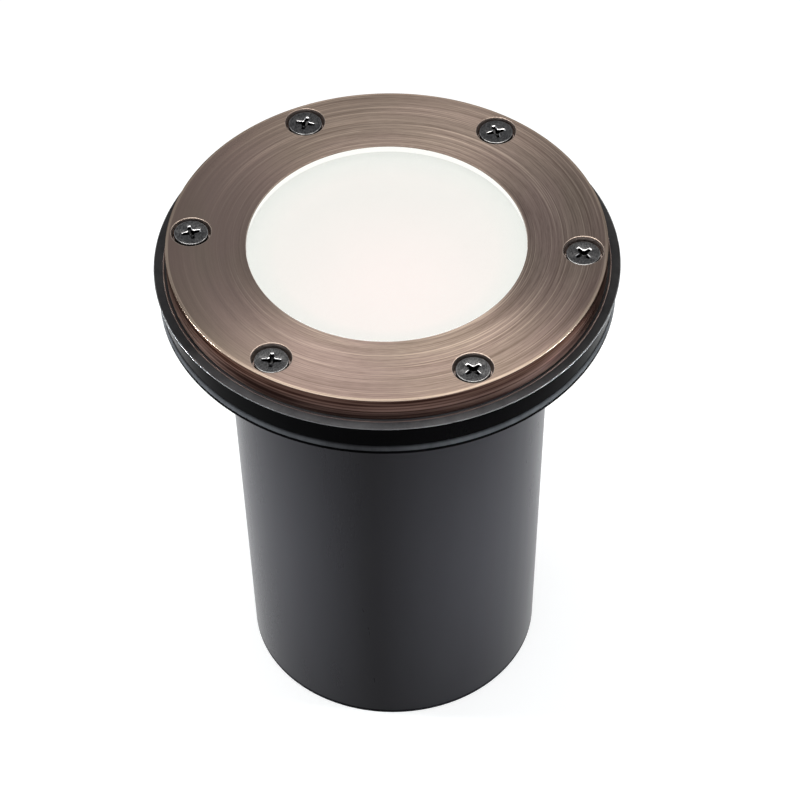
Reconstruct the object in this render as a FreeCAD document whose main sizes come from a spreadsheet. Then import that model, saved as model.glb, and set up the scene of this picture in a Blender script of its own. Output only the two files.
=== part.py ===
"""In-ground well light: a tapered composite housing with a moulded flange, a brass face ring with a
stepped glass lens, and a 12 V reflector lamp on a gimbal inside. Millimetres, +Z up, origin at the
centre of the foot."""

import math
import os

import FreeCAD, Part
import Sketcher

DOC = FreeCAD.newDocument("WellLight")
SHEET = DOC.addObject("Spreadsheet::Sheet", "Sizes")

# Driving dimensions, in millimetres and degrees. Heights are measured from the foot.
SIZES = {
    # face ring, at the very top
    "total_height": 158.5,
    "ring_dia": 126.0,
    "ring_thick": 7.0,
    "window_dia": 80.0,
    "ring_edge_bevel": 0.4,
    "window_edge_bevel": 0.3,
    "rabbet_dia": 98.6,
    "rabbet_depth": 2.6,
    # cover screws
    "screw_count": 6.0,
    "screw_circle_dia": 112.0,
    "counterbore_dia": 11.4,
    "counterbore_depth": 3.7,
    "screw_hole_dia": 5.4,
    "screw_head_dia": 9.8,
    "screw_head_height": 3.3,
    "screw_head_bevel": 0.4,
    "screw_shank_dia": 4.9,
    "screw_length": 13.0,
    "cross_span": 5.2,
    "cross_width": 1.1,
    "cross_heart": 0.9,
    "cross_depth": 1.7,
    # lens and its seals
    "lens_recess": 0.2,
    "lens_thick": 6.8,
    "lens_rim_dia": 97.6,
    "lens_rim_thick": 2.2,
    "lens_fit": 0.3,
    "seal_lip": 0.4,
    "gasket_width": 3.6,
    # housing tube
    "body_top_dia": 94.8,
    "body_foot_dia": 85.8,
    "body_wall": 3.2,
    "mouth_dia": 88.8,
    "foot_bevel": 1.2,
    "recess_height": 44.0,
    "recess_top_dia": 78.4,
    "recess_foot_dia": 79.4,
    # flange
    "flange_face": 151.0,
    "flange_dia": 133.4,
    "flange_depth": 12.0,
    "flange_foot_dia": 131.0,
    "waist_dia": 130.4,
    "waist_height": 4.0,
    "bead_height": 2.0,
    "bead_bevel": 1.0,
    "flange_plate": 3.6,
    "skirt_wall": 3.0,
    "seat_dia": 97.2,
    "seat_depth": 1.5,
    "collar_fit": 0.1,
    "collar_wall": 2.2,
    "collar_drop": 7.4,
    "rib_overlap": 0.5,
    "boss_dia": 11.0,
    "boss_drop": 8.0,
    "rib_thick": 1.8,
    "rib_drop": 6.4,
    "rib_count": 6.0,
    # bulkhead
    "bulkhead_dia": 82.0,
    "bulkhead_thick": 3.5,
    "bulkhead_bevel": 0.6,
    # threaded inserts under the cover screws
    "insert_hex": 6.96,
    "insert_slot": 7.0,
    "insert_bore_dia": 5.0,
    "insert_length": 9.0,
    "insert_hole_depth": 9.5,
    # cable gland in the bulkhead
    "gland_offset": 24.0,
    "gland_hole_dia": 12.4,
    "gland_thread_dia": 12.0,
    "gland_bore_dia": 7.4,
    "gland_seal_dia": 9.2,
    "seal_fit": 0.1,
    "cable_bore_dia": 6.4,
    "gland_hex": 15.0,
    "gland_hex_thick": 5.0,
    "gland_nut_hex": 16.0,
    "gland_nut_height": 13.0,
    "gland_cap": 4.5,
    "gland_stub": 9.0,
    "gland_rise": 10.0,
    "thread_fit": 0.1,
    "seal_stop": 1.0,
    "nose_bevel": 1.8,
    "locknut_thick": 4.0,
    "gland_washer_thick": 1.0,
    "gland_washer_dia": 17.0,
    # swivel at the middle of the bulkhead
    "post_dia": 12.0,
    "post_height": 10.0,
    "post_bevel": 0.5,
    "post_hole_dia": 4.3,
    "post_screw_hex": 7.0,
    "post_screw_head": 2.4,
    "post_screw_grip": 4.5,
    "swivel_shank_dia": 3.9,
    "swivel_grip": 4.5,
    "swivel_head_dia": 8.0,
    "swivel_head_height": 2.8,
    "swivel_cross_span": 4.2,
    "wave_washer_dia": 11.0,
    "wave_washer_thick": 0.8,
    "swivel_gap": 0.1,
    # yoke
    "yoke_inside": 61.0,
    "yoke_sheet": 1.2,
    "yoke_width": 18.0,
    "yoke_bend": 2.0,
    "yoke_hole_dia": 4.05,
    "arm_tip_round": 8.8,
    "pivot_height": 132.0,
    # gimbal ring, its pivots and the lamp
    "gimbal_dia": 56.4,
    "gimbal_bore_dia": 51.2,
    "gimbal_lip_dia": 47.8,
    "gimbal_lip_thick": 1.2,
    "gimbal_height": 10.0,
    "gimbal_drop": 5.0,
    "clip_height": 1.3,
    "clip_dia": 52.6,
    "clip_width": 1.4,
    "clip_open": 36.0,
    "clip_fit": 0.05,
    "clip_groove_depth": 0.8,
    "lug_dia": 7.0,
    "lug_root": 26.4,
    "lug_reach": 29.7,
    "pivot_hole_dia": 3.1,
    "pivot_pin_dia": 3.0,
    "pivot_head_dia": 6.0,
    "pivot_head_thick": 1.8,
    "pivot_pin_start": 26.5,
    "pivot_washer_dia": 7.0,
    "pivot_washer_thick": 0.7,
    "lamp_rim_dia": 50.6,
    "lamp_rim_thick": 3.2,
    "lamp_length": 34.0,
    "lamp_throat_dia": 46.0,
    "lamp_shoulder_dia": 43.0,
    "lamp_shoulder_drop": 6.0,
    "lamp_waist_dia": 30.0,
    "lamp_waist_rise": 9.0,
    "lamp_neck_dia": 21.0,
    "lamp_neck_rise": 4.0,
    "lamp_neck_bevel": 1.0,
    "fin_foot_dia": 22.6,
    "fin_foot_rise": 5.5,
    "fin_head_dia": 33.0,
    "fin_head_drop": 1.5,
    "fin_gap": 2.0,
    "fin_count": 18.0,
    "optic_dia": 44.8,
    "optic_thick": 2.4,
    "optic_fit": 0.1,
    "optic_gap": 0.2,
    "optic_bevel": 0.5,
    "lamp_base_long": 17.0,
    "lamp_base_wide": 12.0,
    "lamp_base_height": 12.0,
    "pin_spacing": 5.3,
    "pin_dia": 1.6,
    "pin_length": 7.0,
    "pin_root": 5.0,
    "pin_tip_dia": 1.0,
    "pin_tip": 0.5,
    "socket_long": 17.0,
    "socket_wide": 10.0,
    "socket_height": 13.0,
    "socket_gap": 0.3,
    "block_round": 2.2,
    "contact_dia": 2.4,
    "contact_bore_dia": 1.7,
    "contact_sink": 0.5,
}

# How far each cover screw's cross is turned about its own axis, in degrees, counter-clockwise from +X.
SCREW_TURNS = (42.0, 22.0, 81.0, 21.0, 1.0, 47.0)

# The walls of a cross recess lean in by this many degrees.
CROSS_TAPER = -12.0

NOTHING = 1e-6
NEAR = 0.01


class Size:
    """A length that carries its number and the expression that gives it from the sheet."""

    def __init__(self, value, text):
        self.value = value
        self.text = text

    def _with(self, other, sign, value):
        other_text = other.text if isinstance(other, Size) else repr(other)
        return Size(value, f"({self.text} {sign} {other_text})")

    def __add__(self, other):
        return self._with(other, "+", self.value + number(other))

    def __sub__(self, other):
        return self._with(other, "-", self.value - number(other))

    def __mul__(self, other):
        return self._with(other, "*", self.value * number(other))

    def __truediv__(self, other):
        return self._with(other, "/", self.value / number(other))

    def __neg__(self):
        return Size(-self.value, f"(0 - {self.text})")


def number(size):
    return size.value if isinstance(size, Size) else float(size)


def fill_sheet():
    for row, (name, value) in enumerate(SIZES.items(), start=1):
        SHEET.set(f"A{row}", name)
        SHEET.set(f"B{row}", str(value))
        SHEET.setAlias(f"B{row}", name)
    DOC.recompute()


def dim(name):
    return Size(SIZES[name], f"Sizes.{name}")


def bind(thing, path, size):
    """Sets a property from the sheet."""
    thing.setExpression(path, size.text)


# ---------------------------------------------------------------- building blocks


def new_body(name):
    body = DOC.addObject("PartDesign::Body", name)
    body.Label = name
    return body


def origin_plane(body, role):
    return next(f for f in body.Origin.OriginFeatures if f.Role == role)


def new_sketch(body, name, role="XZ_Plane", lift=None):
    """A sketch on one of the body's own origin planes, lifted along the plane's normal."""
    sketch = body.newObject("Sketcher::SketchObject", name)
    sketch.AttachmentSupport = [(origin_plane(body, role), "")]
    sketch.MapMode = "FlatFace"
    if lift is not None:
        bind(sketch, "AttachmentOffset.Base.z", lift)
    return sketch


def pin_point(sketch, index, position, x, y):
    """Holds one point of the sketch at (x, y) from its origin, bound to the sheet."""
    for kind, size, axis in (("DistanceX", x, -2), ("DistanceY", y, -1)):
        if abs(number(size)) < NOTHING:
            sketch.addConstraint(Sketcher.Constraint("PointOnObject", index, position, axis))
            continue
        made = sketch.addConstraint(Sketcher.Constraint(kind, -1, 1, index, position, number(size)))
        if isinstance(size, Size):
            sketch.setExpression(f"Constraints[{made}]", size.text)


def outline(sketch, points):
    """A closed outline of straight lines through the given points."""
    corners = [FreeCAD.Vector(number(x), number(y), 0) for x, y in points]
    following = corners[1:] + corners[:1]
    first = sketch.GeometryCount
    for start, end in zip(corners, following):
        sketch.addGeometry(Part.LineSegment(start, end), False)
    count = len(points)
    for k in range(count):
        after = first + (k + 1) % count
        sketch.addConstraint(Sketcher.Constraint("Coincident", first + k, 2, after, 1))
    for k, (x, y) in enumerate(points):
        pin_point(sketch, first + k, 1, x, y)


def circle(sketch, x, y, diameter):
    centre = FreeCAD.Vector(number(x), number(y), 0)
    index = sketch.addGeometry(
        Part.Circle(centre, FreeCAD.Vector(0, 0, 1), number(diameter) / 2), False
    )
    if abs(number(x)) < NOTHING and abs(number(y)) < NOTHING:
        sketch.addConstraint(Sketcher.Constraint("Coincident", index, 3, -1, 1))
    else:
        pin_point(sketch, index, 3, x, y)
    made = sketch.addConstraint(Sketcher.Constraint("Diameter", index, number(diameter)))
    if isinstance(diameter, Size):
        sketch.setExpression(f"Constraints[{made}]", diameter.text)


def rectangle(sketch, low_x, low_y, high_x, high_y):
    outline(sketch, [(low_x, low_y), (high_x, low_y), (high_x, high_y), (low_x, high_y)])


def hexagon(sketch, across_flats, x, y):
    """A hexagon with two flats facing along the sketch's Y axis."""
    corner = across_flats / math.sqrt(3)
    half = across_flats / 2
    points = [(x + corner, y), (x + corner / 2, y + half), (x - corner / 2, y + half)]
    points += [(x - corner, y), (x - corner / 2, y - half), (x + corner / 2, y - half)]
    outline(sketch, points)


def revolved(body, points, name="Turned"):
    """A solid of revolution about the body's Z axis, from (radius, height) points."""
    sketch = new_sketch(body, name + "Profile")
    outline(sketch, points)
    turned = body.newObject("PartDesign::Revolution", name)
    turned.Profile = sketch
    turned.ReferenceAxis = (sketch, ["V_Axis"])
    turned.Angle = 360.0
    DOC.recompute()
    return turned


def padded(body, sketch, name, length, down=False, both_ways=False):
    pad = body.newObject("PartDesign::Pad", name)
    pad.Profile = sketch
    bind(pad, "Length", length)
    pad.Reversed = down
    if both_ways:
        pad.SideType = "Symmetric"
    DOC.recompute()
    return pad


def pocketed(body, sketch, name, depth, up=False, both_ways=False, taper=0.0):
    """Cuts a pocket, and stops if it took nothing away."""
    before = body.Tip.Shape.Volume
    pocket = body.newObject("PartDesign::Pocket", name)
    pocket.Profile = sketch
    bind(pocket, "Length", depth)
    pocket.Reversed = up
    pocket.TaperAngle = taper
    if both_ways:
        pocket.SideType = "Symmetric"
    DOC.recompute()
    if pocket.Shape.isNull() or pocket.Shape.Volume > before - NOTHING:
        raise RuntimeError(f"{body.Label}: {name} cuts nothing")
    return pocket


def polar(body, features, name, count):
    """Repeats features about the body's Z axis."""
    pattern = body.newObject("PartDesign::PolarPattern", name)
    pattern.Originals = features
    axis = next(f for f in body.Origin.OriginFeatures if f.Role == "Z_Axis")
    pattern.Axis = (axis, [""])
    pattern.Angle = 360.0
    bind(pattern, "Occurrences", count)
    body.Tip = pattern
    DOC.recompute()
    return pattern


def close(value, size):
    return abs(value - number(size)) < NEAR


def circle_edges(feature, diameter, height):
    """Names of the circles of one diameter at one height."""
    found = []
    for k, edge in enumerate(feature.Shape.Edges, start=1):
        if not isinstance(edge.Curve, Part.Circle):
            continue
        if close(edge.Curve.Radius * 2, diameter) and close(edge.Curve.Center.z, height):
            found.append(f"Edge{k}")
    return found


def straight_edges(feature, test):
    """Names of the straight edges whose middle passes the test."""
    found = []
    for k, edge in enumerate(feature.Shape.Edges, start=1):
        if isinstance(edge.Curve, Part.Line) and test(edge.CenterOfMass):
            found.append(f"Edge{k}")
    return found


def rounded(body, edges, name, radius):
    base = body.Tip
    fillet = body.newObject("PartDesign::Fillet", name)
    fillet.Base = (base, edges)
    bind(fillet, "Radius", radius)
    DOC.recompute()
    return fillet


def bevelled(body, edges, name, size):
    base = body.Tip
    chamfer = body.newObject("PartDesign::Chamfer", name)
    chamfer.Base = (base, edges)
    bind(chamfer, "Size", size)
    DOC.recompute()
    return chamfer


def bevel_edge(body, name, diameter, height, size):
    """Bevels the circular edges of one diameter at one height."""
    return bevelled(body, circle_edges(body.Tip, diameter, height), name, size)


def linked(name, master):
    """A further copy of a piece."""
    link = DOC.addObject("App::Link", name)
    link.LinkedObject = master
    return link


def compound(name, group):
    """Separate solids that share one node."""
    whole = DOC.addObject("Part::Compound", name)
    whole.Links = group
    whole.Label = name
    DOC.recompute()
    return whole


def ring_of(name, master, count, circle_dia, height, turns=None):
    """Copies of one piece on a circle about Z, as one node of separate solids."""
    group = []
    for k in range(count):
        angle = math.radians(360.0 / count * k)
        link = linked(f"{name}_{k + 1}", master)
        bind(link, "Placement.Base.x", circle_dia / 2 * math.cos(angle))
        bind(link, "Placement.Base.y", circle_dia / 2 * math.sin(angle))
        bind(link, "Placement.Base.z", height)
        turn = turns[k] if turns else 0.0
        link.Placement.Rotation = FreeCAD.Rotation(FreeCAD.Vector(0, 0, 1), turn)
        group.append(link)
    return compound(name, group)


# ---------------------------------------------------------------- shared heights and radii


fill_sheet()

TOP = dim("total_height")
RING_UNDER = TOP - dim("ring_thick")
LENS_TOP = TOP - dim("lens_recess")
LENS_UNDER = LENS_TOP - dim("lens_thick")
LENS_RIM_TOP = LENS_UNDER + dim("lens_rim_thick")
RABBET_TOP = RING_UNDER + dim("rabbet_depth")
FLANGE_FACE = dim("flange_face")
FLANGE_LOW = FLANGE_FACE - dim("flange_depth")
PLATE_UNDER = FLANGE_FACE - dim("flange_plate")
SEAT_FLOOR = FLANGE_FACE - dim("seat_depth")
BULKHEAD_UNDER = dim("recess_height")
BULKHEAD_TOP = BULKHEAD_UNDER + dim("bulkhead_thick")
POST_TOP = BULKHEAD_TOP + dim("post_height")
YOKE_UNDER = POST_TOP + dim("wave_washer_thick")
YOKE_FLOOR = YOKE_UNDER + dim("yoke_sheet")
PIVOT = dim("pivot_height")
GIMBAL_UNDER = PIVOT - dim("gimbal_drop")
LAMP_SEAT = GIMBAL_UNDER + dim("gimbal_lip_thick")
LAMP_FACE = LAMP_SEAT + dim("lamp_rim_thick")
LAMP_NECK = LAMP_FACE - dim("lamp_length")
LAMP_BASE_UNDER = LAMP_NECK - dim("lamp_base_height")
SOCKET_TOP = LAMP_BASE_UNDER - dim("socket_gap")
GLAND_HEX_UNDER = BULKHEAD_UNDER - dim("gland_washer_thick") - dim("gland_hex_thick")
GLAND_FOOT = GLAND_HEX_UNDER - dim("gland_stub")
ZERO = Size(0.0, "0")
SCREW_COUNT = int(SIZES["screw_count"])


# ---------------------------------------------------------------- housing and what stays in it


def make_housing():
    """Tapered tube: thicker round the foot, where it ends inside in a ledge for the bulkhead."""
    body = new_body("housing")
    wall_foot = dim("body_foot_dia") / 2
    wall_top = dim("body_top_dia") / 2
    draft = (wall_top - wall_foot) / FLANGE_LOW
    cavity_foot = wall_foot + draft * BULKHEAD_UNDER - dim("body_wall")
    revolved(body, [
        (dim("recess_foot_dia") / 2, ZERO),
        (wall_foot, ZERO),
        (wall_top, FLANGE_LOW),
        (wall_top, PLATE_UNDER),
        (dim("mouth_dia") / 2, PLATE_UNDER),
        (cavity_foot, BULKHEAD_UNDER),
        (dim("recess_top_dia") / 2, BULKHEAD_UNDER),
    ])
    bevel_edge(body, "FootBevel", dim("body_foot_dia"), ZERO, dim("foot_bevel"))
    return body


def flange_profile():
    """Half section of the flange, from the socket for the tube down the collar and up the skirt."""
    socket = dim("body_top_dia") / 2 + dim("collar_fit")
    skirt = dim("flange_foot_dia") / 2
    collar_low = PLATE_UNDER - dim("collar_drop")
    return [
        (dim("mouth_dia") / 2, PLATE_UNDER),
        (socket, PLATE_UNDER),
        (socket, collar_low),
        (socket + dim("collar_wall"), collar_low),
        (socket + dim("collar_wall"), PLATE_UNDER),
        (skirt - dim("skirt_wall"), PLATE_UNDER),
        (skirt - dim("skirt_wall"), FLANGE_LOW),
        (skirt, FLANGE_LOW),
        (skirt, FLANGE_LOW + dim("bead_height")),
        (dim("waist_dia") / 2, FLANGE_LOW + dim("waist_height")),
        (dim("flange_dia") / 2, FLANGE_FACE),
        (dim("seat_dia") / 2, FLANGE_FACE),
        (dim("seat_dia") / 2, SEAT_FLOOR),
        (dim("mouth_dia") / 2, SEAT_FLOOR),
    ]


def make_flange():
    """Moulding bonded over the tube's mouth: a ribbed, skirted plate with screw bosses."""
    body = new_body("flange")
    revolved(body, flange_profile(), "Shell")
    bevel_edge(body, "BeadBevel", dim("flange_foot_dia"), FLANGE_LOW, dim("bead_bevel"))
    bevel_edge(body, "RimBevel", dim("flange_dia"), FLANGE_FACE, dim("ring_edge_bevel"))

    rib = new_sketch(body, "RibOutline", "XY_Plane", PLATE_UNDER)
    inside = dim("body_top_dia") / 2 + dim("collar_fit") + dim("collar_wall") - dim("rib_overlap")
    outside = dim("flange_foot_dia") / 2 - dim("skirt_wall") + dim("rib_overlap")
    rectangle(rib, inside, -(dim("rib_thick") / 2), outside, dim("rib_thick") / 2)
    ribs = padded(body, rib, "Rib", dim("rib_drop"), down=True)
    polar(body, [ribs], "Ribs", dim("rib_count"))

    boss = new_sketch(body, "BossOutline", "XY_Plane", PLATE_UNDER)
    circle(boss, dim("screw_circle_dia") / 2, ZERO, dim("boss_dia"))
    bosses = padded(body, boss, "Boss", dim("boss_drop"), down=True)
    polar(body, [bosses], "Bosses", dim("screw_count"))

    hole = new_sketch(body, "InsertHoleOutline", "XY_Plane", FLANGE_FACE)
    hexagon(hole, dim("insert_slot"), dim("screw_circle_dia") / 2, ZERO)
    holes = pocketed(body, hole, "InsertHole", dim("insert_hole_depth"))
    polar(body, [holes], "InsertHoles", dim("screw_count"))
    return body


def make_bulkhead():
    """Plate on the tube's ledge, with a hole for the gland and one for the swivel's post."""
    body = new_body("bulkhead")
    disc = new_sketch(body, "DiscOutline", "XY_Plane", BULKHEAD_UNDER)
    circle(disc, ZERO, ZERO, dim("bulkhead_dia"))
    circle(disc, ZERO, ZERO, dim("post_hole_dia"))
    circle(disc, ZERO, dim("gland_offset"), dim("gland_hole_dia"))
    padded(body, disc, "Disc", dim("bulkhead_thick"))
    bevel_edge(body, "TopBevel", dim("bulkhead_dia"), BULKHEAD_TOP, dim("bulkhead_bevel"))
    return body


def make_threaded_inserts():
    """Hexagonal brass inserts at the bottom of the holes in the flange's bosses."""
    master = new_body("threaded_insert")
    section = new_sketch(master, "Section", "XY_Plane")
    hexagon(section, dim("insert_hex"), ZERO, ZERO)
    circle(section, ZERO, ZERO, dim("insert_bore_dia"))
    padded(master, section, "Sleeve", dim("insert_length"))
    foot = FLANGE_FACE - dim("insert_hole_depth")
    turns = [360.0 / SCREW_COUNT * k for k in range(SCREW_COUNT)]
    return ring_of("threaded_inserts", master, SCREW_COUNT, dim("screw_circle_dia"), foot, turns)


def make_lens_gasket():
    """Silicone ring on the flange's seat, pressed by the lens."""
    body = new_body("lens_gasket")
    outer = dim("seat_dia") / 2
    inner = outer - dim("gasket_width")
    revolved(body, [
        (inner, SEAT_FLOOR),
        (outer, SEAT_FLOOR),
        (outer, LENS_UNDER),
        (inner, LENS_UNDER),
    ])
    return body


# ---------------------------------------------------------------- cable gland


def make_gland_body():
    """Hex collar with a threaded stub each way, bored for the cable and its rubber seal."""
    body = new_body("gland_body")
    offset = dim("gland_offset")
    collar = new_sketch(body, "CollarOutline", "XY_Plane", GLAND_HEX_UNDER)
    hexagon(collar, dim("gland_hex"), ZERO, offset)
    padded(body, collar, "Collar", dim("gland_hex_thick"))

    stub = new_sketch(body, "StubOutline", "XY_Plane", GLAND_FOOT)
    circle(stub, ZERO, offset, dim("gland_thread_dia"))
    reach = dim("gland_stub") + dim("gland_hex_thick") + dim("gland_rise")
    padded(body, stub, "Stub", reach)

    bore = new_sketch(body, "BoreOutline", "XY_Plane", GLAND_FOOT)
    circle(bore, ZERO, offset, dim("gland_bore_dia"))
    pocketed(body, bore, "Bore", reach, up=True)
    seat = new_sketch(body, "SealSeatOutline", "XY_Plane", GLAND_FOOT)
    circle(seat, ZERO, offset, dim("gland_seal_dia") + dim("seal_fit"))
    pocketed(body, seat, "SealSeat", dim("gland_stub") - dim("seal_stop"), up=True)
    return body


def tube(name, outer_dia, bore_dia, foot, height):
    """A plain round tube on the gland's axis."""
    body = new_body(name)
    wall = new_sketch(body, "WallOutline", "XY_Plane", foot)
    circle(wall, ZERO, dim("gland_offset"), outer_dia)
    circle(wall, ZERO, dim("gland_offset"), bore_dia)
    padded(body, wall, "Wall", height)
    return body


def make_gland_washer():
    """Rubber washer between the gland's collar and the bulkhead."""
    foot = BULKHEAD_UNDER - dim("gland_washer_thick")
    bore = dim("gland_thread_dia") + dim("thread_fit")
    return tube("gland_washer", dim("gland_washer_dia"), bore, foot, dim("gland_washer_thick"))


def make_gland_locknut():
    """Hex nut that pulls the gland up against the bulkhead from inside."""
    body = new_body("gland_locknut")
    nut = new_sketch(body, "NutOutline", "XY_Plane", BULKHEAD_TOP)
    hexagon(nut, dim("gland_nut_hex"), ZERO, dim("gland_offset"))
    circle(nut, ZERO, dim("gland_offset"), dim("gland_thread_dia") + dim("thread_fit"))
    padded(body, nut, "Nut", dim("locknut_thick"))
    return body


def make_gland_seal():
    """Rubber bush that the cap squeezes on to the cable."""
    return tube("gland_seal", dim("gland_seal_dia"), dim("cable_bore_dia"),
                GLAND_FOOT, dim("gland_stub") - dim("seal_stop"))


def make_gland_nut():
    """Hexagonal compression cap below the gland, bevelled at its nose."""
    body = new_body("gland_nut")
    offset = dim("gland_offset")
    foot = GLAND_FOOT - dim("gland_cap")
    outer = new_sketch(body, "CapOutline", "XY_Plane", foot)
    hexagon(outer, dim("gland_nut_hex"), ZERO, offset)
    padded(body, outer, "Cap", dim("gland_nut_height"))
    nose = straight_edges(body.Tip, lambda p: close(p.z, foot))
    bevelled(body, nose, "NoseBevel", dim("nose_bevel"))
    socket = new_sketch(body, "SocketOutline", "XY_Plane", GLAND_FOOT)
    circle(socket, ZERO, offset, dim("gland_thread_dia") + dim("thread_fit"))
    pocketed(body, socket, "Socket", dim("gland_nut_height"), up=True)
    bore = new_sketch(body, "BoreOutline", "XY_Plane", foot)
    circle(bore, ZERO, offset, dim("gland_bore_dia"))
    pocketed(body, bore, "Bore", dim("gland_cap"), up=True)
    return body


# ---------------------------------------------------------------- swivel


def make_swivel_post():
    """Metal spacer bored through, on the bulkhead, that takes a screw from each end."""
    body = new_body("swivel_post")
    bore = dim("swivel_shank_dia") / 2
    outer = dim("post_dia") / 2
    bevel = dim("post_bevel")
    revolved(body, [
        (bore, BULKHEAD_TOP),
        (outer, BULKHEAD_TOP),
        (outer, POST_TOP - bevel),
        (outer - bevel, POST_TOP),
        (bore, POST_TOP),
    ])
    return body


def make_post_screw():
    """Hex-head screw that holds the post from under the bulkhead."""
    body = new_body("post_screw")
    head = new_sketch(body, "HeadOutline", "XY_Plane", BULKHEAD_UNDER)
    hexagon(head, dim("post_screw_hex"), ZERO, ZERO)
    padded(body, head, "Head", dim("post_screw_head"), down=True)
    shank = new_sketch(body, "ShankOutline", "XY_Plane", BULKHEAD_UNDER)
    circle(shank, ZERO, ZERO, dim("swivel_shank_dia"))
    padded(body, shank, "Shank", dim("bulkhead_thick") + dim("post_screw_grip"))
    return body


def make_swivel_screw():
    """Pan-head screw that the yoke turns on."""
    body = new_body("swivel_screw")
    head_under = YOKE_FLOOR + dim("swivel_gap")
    head_top = head_under + dim("swivel_head_height")
    shank = dim("swivel_shank_dia") / 2
    head = dim("swivel_head_dia") / 2
    foot = POST_TOP - dim("swivel_grip")
    revolved(body, [
        (ZERO, foot),
        (shank, foot),
        (shank, head_under),
        (head, head_under),
        (head, head_top),
        (ZERO, head_top),
    ])
    bevel_edge(body, "HeadBevel", head * 2, head_top, dim("screw_head_bevel"))
    cut_cross(body, head_top, dim("swivel_cross_span"))
    return body


def cut_cross(body, top, span):
    """The cross recess in a screw head: four arms from a wider heart, its walls leaning in."""
    arm = span / 2
    half = dim("cross_width") / 2
    heart = dim("cross_heart")
    points = []
    for quarter in range(4):
        for x, y in ((arm, -half), (arm, half), (heart, half), (half, heart)):
            for _ in range(quarter):
                x, y = -y, x
            points.append((x, y))
    cross = new_sketch(body, "CrossOutline", "XY_Plane", top)
    outline(cross, points)
    pocketed(body, cross, "Cross", dim("cross_depth"), taper=CROSS_TAPER)


def make_swivel_washer():
    """Wave washer that keeps the swivel from turning by itself."""
    body = new_body("swivel_washer")
    bore = dim("yoke_hole_dia") / 2
    revolved(body, [
        (bore, POST_TOP),
        (dim("wave_washer_dia") / 2, POST_TOP),
        (dim("wave_washer_dia") / 2, YOKE_UNDER),
        (bore, YOKE_UNDER),
    ])
    return body


# ---------------------------------------------------------------- cover


def make_face_ring():
    """Turned brass ring with a window, a rabbet for the lens and six counterbored holes."""
    body = new_body("face_ring")
    window = dim("window_dia") / 2
    outer = dim("ring_dia") / 2
    rabbet = dim("rabbet_dia") / 2
    revolved(body, [
        (window, TOP),
        (window, RABBET_TOP),
        (rabbet, RABBET_TOP),
        (rabbet, RING_UNDER),
        (outer, RING_UNDER),
        (outer, TOP),
    ], "Ring")
    bevel_edge(body, "RimBevel", dim("ring_dia"), TOP, dim("ring_edge_bevel"))
    bevel_edge(body, "WindowBevel", dim("window_dia"), TOP, dim("window_edge_bevel"))

    bore = new_sketch(body, "CounterboreOutline", "XY_Plane", TOP)
    circle(bore, dim("screw_circle_dia") / 2, ZERO, dim("counterbore_dia"))
    counterbore = pocketed(body, bore, "Counterbore", dim("counterbore_depth"))
    polar(body, [counterbore], "Counterbores", dim("screw_count"))
    hole = new_sketch(body, "ScrewHoleOutline", "XY_Plane", TOP)
    circle(hole, dim("screw_circle_dia") / 2, ZERO, dim("screw_hole_dia"))
    through = pocketed(body, hole, "ScrewHole", dim("ring_thick"))
    polar(body, [through], "ScrewHoles", dim("screw_count"))
    return body


def make_lens():
    """Stepped glass disc: the middle stands up into the window, the rim is held below it."""
    body = new_body("lens")
    step = dim("window_dia") / 2 - dim("lens_fit")
    rim = dim("lens_rim_dia") / 2
    revolved(body, [
        (ZERO, LENS_UNDER),
        (rim, LENS_UNDER),
        (rim, LENS_RIM_TOP),
        (step, LENS_RIM_TOP),
        (step, LENS_TOP),
        (ZERO, LENS_TOP),
    ])
    bevel_edge(body, "EdgeBevel", step * 2, LENS_TOP, dim("window_edge_bevel"))
    return body


def make_lens_seal():
    """Flat ring of silicone that bonds the lens rim into the ring's rabbet."""
    body = new_body("lens_seal")
    inner = dim("window_dia") / 2 + dim("seal_lip")
    rim = dim("lens_rim_dia") / 2
    revolved(body, [
        (inner, LENS_RIM_TOP),
        (rim, LENS_RIM_TOP),
        (rim, RABBET_TOP),
        (inner, RABBET_TOP),
    ])
    return body


def make_cover_screws():
    """Six flat-topped pan-head screws with cross recesses, each turned its own way."""
    master = new_body("cover_screw")
    head = dim("screw_head_dia") / 2
    shank = dim("screw_shank_dia") / 2
    length = dim("screw_length")
    height = dim("screw_head_height")
    revolved(master, [
        (ZERO, -length),
        (shank, -length),
        (shank, ZERO),
        (head, ZERO),
        (head, height),
        (ZERO, height),
    ])
    bevel_edge(master, "HeadBevel", head * 2, height, dim("screw_head_bevel"))
    cut_cross(master, height, dim("cross_span"))
    seat = TOP - dim("counterbore_depth")
    return ring_of("cover_screws", master, SCREW_COUNT, dim("screw_circle_dia"), seat, SCREW_TURNS)


# ---------------------------------------------------------------- yoke


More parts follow.
